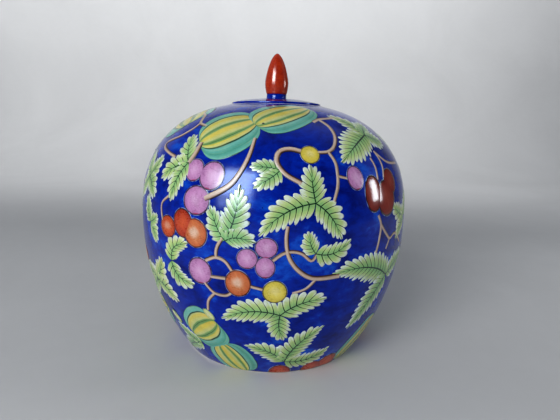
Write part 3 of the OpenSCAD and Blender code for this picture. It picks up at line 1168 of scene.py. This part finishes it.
vines = [
    # points along the stroke, then its width at each end in mm
    ([(-32.6, 171), (-33, 163.5), (-34.6, 156)], 3.2, 3.4),
    ([(-8.6, 176), (-9.6, 164), (-12, 153), (-16, 143.2), (-24.6, 134.6)], 2, 3.4),
    ([(-37, 185.8), (-43.2, 188.4), (-46.4, 194), (-50.6, 199.6), (-60, 204)], 2.2, 2.6),
    ([(-43.2, 188.4), (-44.6, 182.6), (-49.6, 175.4), (-58.4, 169), (-56, 164.4), (-44, 159.2)], 2.4, 2),
    ([(20, 193), (24.8, 196.6), (32, 198.4), (39, 199.6), (46, 198)], 2.6, 2),
    ([(24.8, 196), (27.8, 188), (27.8, 179), (25, 170.6), (21.4, 166.6), (16.6, 166)], 2.4, 2),
    ([(10, 166.6), (6, 168.2), (2.6, 167.2), (0.8, 163.6), (1, 158), (4, 151.6), (9.4, 146.4)], 3, 2.6),
    ([(21.4, 166.8), (23.4, 159.4), (23.4, 151.8), (22.8, 144), (21, 135)], 2, 1.8),
    ([(23.4, 150.6), (27.2, 149)], 1.8, 1.4),
    ([(4.8, 121), (4.4, 113), (5.2, 103.4), (7.8, 95.6), (12, 89.6), (16.4, 87.6), (24.4, 88.2)], 2, 3),
    ([(15.4, 87.2), (12, 81), (7.2, 78.2)], 1.9, 1.5),
    ([(0, 100), (3.2, 104.2), (6.4, 105.6), (9.8, 104.2), (13.2, 99.6), (15, 103.6)], 2, 1.7),
    ([(-17.4, 112), (-19.4, 105.6), (-19.8, 99.6)], 2.2, 2),
    ([(-24, 96.6), (-20, 99.6), (-16.4, 97.6), (-14, 91.8)], 2.2, 2),
    ([(-22.4, 86.4), (-16.6, 86.4)], 2, 2),
    ([(-7.8, 82.6), (-3.4, 80.8)], 1.9, 1.9),
    ([(-25.6, 83), (-23.6, 78.4), (-21, 74.8), (-17, 74.4), (-14.4, 77.4)], 2, 1.9),
    ([(-21.4, 74.4), (-24.4, 68.4), (-25.4, 60.8)], 1.9, 1.8),
    ([(-42, 133), (-45.6, 128), (-45.6, 122), (-44.8, 117)], 1.7, 1.7),
    ([(42.4, 162), (43.6, 155), (43, 147)], 1.7, 1.6),
    ([(47.4, 167), (49, 157), (47.4, 148)], 1.9, 1.7),
    ([(47.6, 166), (54.4, 158.4), (66, 156.4)], 1.8, 1.8),
    ([(41.4, 124), (43.2, 117.4), (42.6, 108), (41.4, 99)], 2, 1.9),
    ([(43.2, 117.6), (46.6, 111.4), (50.2, 106.6), (53.6, 108.8), (57, 107), (62, 100)], 1.9, 1.7),
    ([(50.2, 106.8), (48, 99.6)], 1.7, 1.5),
]

# the two sides, written about their own middle
sideLeaves = [
    ((-4, 172), [((-20, 180), -0.1, 8), ((4, 190), 0.08, 8), ((16, 160), -0.08, 8.4)]),
    ((6, 122), [((-12, 134), 0.1, 8), ((-4, 104), -0.12, 8), ((19, 118), 0.1, 7.6)]),
    ((-2, 64), [((-20, 74), -0.1, 8.4), ((14, 78), 0.1, 8), ((0, 43), 0.04, 7.6)]),
    ((8, 20), [((-8, 34), 0.1, 7.6), ((24, 38), -0.1, 8)]),
]
sideVines = [
    ([(2, 205), (-3, 194), (-6, 184), (-4, 172)], 2.6, 2),
    ([(-4, 172), (-9, 163), (-9, 154), (-4, 148), (3, 146)], 2.4, 1.8),
    ([(6, 122), (10, 111), (9, 100), (3, 92), (-5, 90), (-12, 93)], 2.2, 1.8),
    ([(9, 100), (15, 95), (18, 88)], 1.8, 1.5),
    ([(-2, 64), (-5, 54), (-11, 47), (-13, 38)], 2, 1.7),
]
sideFruit = {
    "pink": [(6, 146, 7.4, 8, 0), (0.5, 137.5, 6.6, 7, 0), (-15, 92, 6.4, 6.6, 0)],
    "orange": [(20, 84, 7.4, 7.8, 0), (-15.5, 33, 7, 7.4, 0)],
    "yellow": [(-11, 150, 5.6, 5.8, 0), (-5, 84, 6.4, 6.6, 0)],
    "darkRed": [(13, 139, 6.4, 6.8, 0)],
    "scarlet": [(-4, 6, 8.4, 9, 0)],
}


brushwork = {
    "leafletPitch": 4 * mm,
    "fewestLeaflets": 5,
    "leafFullness": 1.2,         # the leaflets' reach, as a share of what the lists above give
    "tipReach": 0.58,            # the last leaflets pass the midrib's end by this share of their reach
    "mostTip": 0.4,
    "lobeLift": 0.05 * mm,       # each lobe lies a little over the one before
    "vineFullness": 1.28,
    "melonLift": 0.1,
    "fruitBase": {"orange": 0.06, "cream": 0.2},
}


def lobePath(base, tip, bend, reach, tint, lift):
    # a midrib that bows to one side by a share of its length
    dx, _ = flatPlace(tip[0], tip[1], base[0])
    dy = (tip[1] - base[1]) * mm
    tipShare = brushwork["tipReach"] * reach * mm / math.hypot(dx, dy)
    midribShare = 1 - min(brushwork["mostTip"], tipShare)
    dx *= midribShare
    dy *= midribShare
    points = []
    steps = 5
    for i in range(steps + 1):
        share = i / steps
        bow = -4 * bend * share * (1 - share)
        points.append((dx * share - dy * bow, base[1] * mm + dy * share + dx * bow))
    leaflets = max(brushwork["fewestLeaflets"], round(math.hypot(dx, dy) / brushwork["leafletPitch"]))
    return base[0], points, {"reach": reach * mm, "tint": tint, "leaflets": leaflets, "lift": lift}


def leafPaths(leafList):
    paths = []
    for base, lobes in leafList:
        leafTint = random.uniform(0, 0.6)
        for number, (tip, bend, reach) in enumerate(lobes):
            tint = leafTint + random.uniform(0, 0.4)
            lift = brushwork["lobeLift"] * number
            paths.append(lobePath(base, tip, bend, reach * brushwork["leafFullness"], tint, lift))
    return paths


def vinePaths(vineList):
    paths = []
    for places, startWidth, endWidth in vineList:
        about = places[0][0]
        last = len(places) - 1
        widths = [startWidth + (endWidth - startWidth) * i / last for i in range(last + 1)]
        girth = [brushwork["vineFullness"] * width * mm for width in widths]
        paths.append((about, [flatPlace(angle, climb, about) for angle, climb in places], {"girth": girth}))
    return paths


def carriedPlace(place, middle, sense):
    # a sense of -1 mirrors the work as it is carried round to its middle
    return middle + sense * place[0], place[1]


def carriedLeaves(leafList, middle, sense):
    carried = []
    for base, lobes in leafList:
        newLobes = [(carriedPlace(tip, middle, sense), sense * bend, reach) for tip, bend, reach in lobes]
        carried.append((carriedPlace(base, middle, sense), newLobes))
    return carried


def carriedVines(vineList, middle, sense):
    return [([carriedPlace(place, middle, sense) for place in places], startWidth, endWidth)
            for places, startWidth, endWidth in vineList]


def carriedSpots(spots, middle, sense):
    return [(middle + sense * angle, climb, halfWidth, halfHeight, sense * tilt)
            for angle, climb, halfWidth, halfHeight, tilt in spots]


sides = {
    # its leaves, vines, fruit and melons, the angle of its middle, and whether it is mirrored
    "Front": (leaves, vines, fruit, melons, 0, 1),
    "Back": (leaves, vines, fruit, melons, 180, -1),
    "Right": (sideLeaves, sideVines, sideFruit, [], 90, 1),
    "Left": (sideLeaves, sideVines, sideFruit, [], -90, 1),
}
for side, (leafList, vineList, fruitLists, melonList, middle, sense) in sides.items():
    lobes = leafPaths(carriedLeaves(leafList, middle, sense))
    paint("leaves" + side, pathsMesh("lobes", lobes), frondTree, leafEnamel)
    strokes = vinePaths(carriedVines(vineList, middle, sense))
    paint("vines" + side, pathsMesh("vines", strokes), strokeTree, vineEnamel)
    for kind, finish in fruitEnamels.items():
        if kind in fruitLists:
            spots = carriedSpots(fruitLists[kind], middle, sense)
            host = spotsMesh(kind, spots, base=brushwork["fruitBase"].get(kind, 0))
            paint(kind + "Fruit" + side, host, fruitTree, finish)
    if melonList:
        spots = carriedSpots(melonList, middle, sense)
        paint("melons" + side, spotsMesh("melons", spots, brushwork["melonLift"]), melonTree, melonEnamel)

# a dark dot that the brush left on one melon
dot = spotsMesh("inkDot", [(-6.2, 189.4, 0.8, 0.9, 0)], base=0.3)
paint("inkDot", dot, fruitTree, inkDot, {"Relief": 0.06 * mm})
bpy.data.objects.remove(glazeLine)
print("stage: painting laid on")


floor = {
    "halfWidth": 8,
    "front": -8,
    "bendStart": 1.1,
    "bendRadius": 0.4,
    "top": 2.4,
    "greys": [(0.3, (0.52, 0.525, 0.53)), (0.7, (0.57, 0.575, 0.58))],
}


def makeStage():
    bendStart = floor["bendStart"]
    bend = floor["bendRadius"]
    mesh = bpy.data.meshes.new("sweep")
    rows = [(floor["front"], 0), (bendStart, 0)]
    for degrees in range(10, 91, 10):
        turn = math.radians(degrees)
        rows.append((bendStart + bend * math.sin(turn), bend - bend * math.cos(turn)))
    rows.append((bendStart + bend, floor["top"]))
    verts = [(x, y, z) for y, z in rows for x in (-floor["halfWidth"], floor["halfWidth"])]
    faces = [(2 * i, 2 * i + 1, 2 * i + 3, 2 * i + 2) for i in range(len(rows) - 1)]
    mesh.from_pydata(verts, [], faces)
    mesh.polygons.foreach_set("use_smooth", [True] * len(faces))
    sweep = bpy.data.objects.new("sweep", mesh)
    scene.collection.objects.link(sweep)
    material, tree, shader = newMaterial("paleSweep", {"Roughness": 0.85, "Specular IOR Level": 0.1})
    mask = groupNode(tree, brushGroup, {"Patch Scale": 3.0, "Streak Scale": 60.0, "Streaks": 0.2})
    tree.links.new(colourRamp(tree, mask, floor["greys"]), shader.inputs["Base Color"])
    mesh.materials.append(material)


lights = {
    # azimuth 0 is in front of the jar, and positive is to its right
    "windowLight": {"azimuth": -31, "elevation": 22, "distance": 1.3, "size": (0.62, 0.85), "power": 12},
    "paneLight": {"azimuth": -32, "elevation": 26, "distance": 1.3, "size": (0.56, 0.5), "power": 11.5,
                  "glossOnly": True},    # it only brightens the window's reflection in the glaze
    "sideLight": {"azimuth": 88, "elevation": 11, "distance": 0.9, "size": (0.14, 0.26), "power": 1.4},
    "backdropLight": {"azimuth": 0, "elevation": 22, "distance": 0.81, "size": (2.8, 0.4), "power": 13.5,
                      "aim": (-0.25, 1.5, 0.6)},
}


def makeLight(name, azimuth, elevation, distance, size, power, aim=(0, 0, 0.11), glossOnly=False):
    light = bpy.data.lights.new(name, "AREA")
    light.shape = "RECTANGLE"
    light.size, light.size_y = size
    light.energy = power
    lamp = bpy.data.objects.new(name, light)
    turn = math.radians(azimuth)
    lift = math.radians(elevation)
    offset = Vector((math.sin(turn) * math.cos(lift), -math.cos(turn) * math.cos(lift), math.sin(lift)))
    lamp.location = Vector(aim) + offset * distance
    lamp.rotation_euler = offset.to_track_quat("Z", "Y").to_euler()
    lamp.visible_diffuse = not glossOnly
    scene.collection.objects.link(lamp)


view = {
    # close and a little above, tipped down, with a slight roll
    "distance": 353 * mm,
    "height": 170 * mm,
    "pitch": 10.48,
    "yaw": -0.81,
    "roll": 1.45,
    "lens": 28.29,
}


def makeCamera():
    data = bpy.data.cameras.new("camera")
    data.lens = view["lens"]
    data.sensor_width = 36
    data.clip_start = 0.01
    camera = bpy.data.objects.new("camera", data)
    camera.location = (0, -view["distance"], view["height"])
    tilt = Matrix.Rotation(math.radians(90 - view["pitch"]), 3, "X")
    yaw = Matrix.Rotation(math.radians(view["yaw"]), 3, "Z")
    roll = Matrix.Rotation(math.radians(view["roll"]), 3, "Z")
    camera.rotation_euler = (yaw @ tilt @ roll).to_euler()
    scene.collection.objects.link(camera)
    scene.camera = camera


room = {
    # pale, and dim behind the camera
    "dim": (0.07, 0.08, 0.1),
    "bright": (0.6, 0.63, 0.67),
    "dimTo": -0.5,
    "brightFrom": 0.9,
    "upShare": 0.1,
}


def makeWorld():
    world = bpy.data.worlds.new("paleRoom")
    world.use_nodes = True
    tree = world.node_tree
    toward = splitVector(tree, addNode(tree, "ShaderNodeTexCoord").outputs["Generated"])
    backness = plus(tree, toward[1], times(tree, toward[2], room["upShare"]))
    brightness = ramped(tree, backness, room["dimTo"], room["brightFrom"])
    colour = mixColour(tree, brightness, room["dim"], room["bright"])
    tree.links.new(colour, tree.nodes["Background"].inputs["Color"])
    scene.world = world


makeStage()
for name, settings in lights.items():
    makeLight(name, **settings)
makeCamera()
makeWorld()
scene.view_settings.view_transform = "Standard"
scene.view_settings.look = "Medium High Contrast"
print("stage: floor, light and camera set")
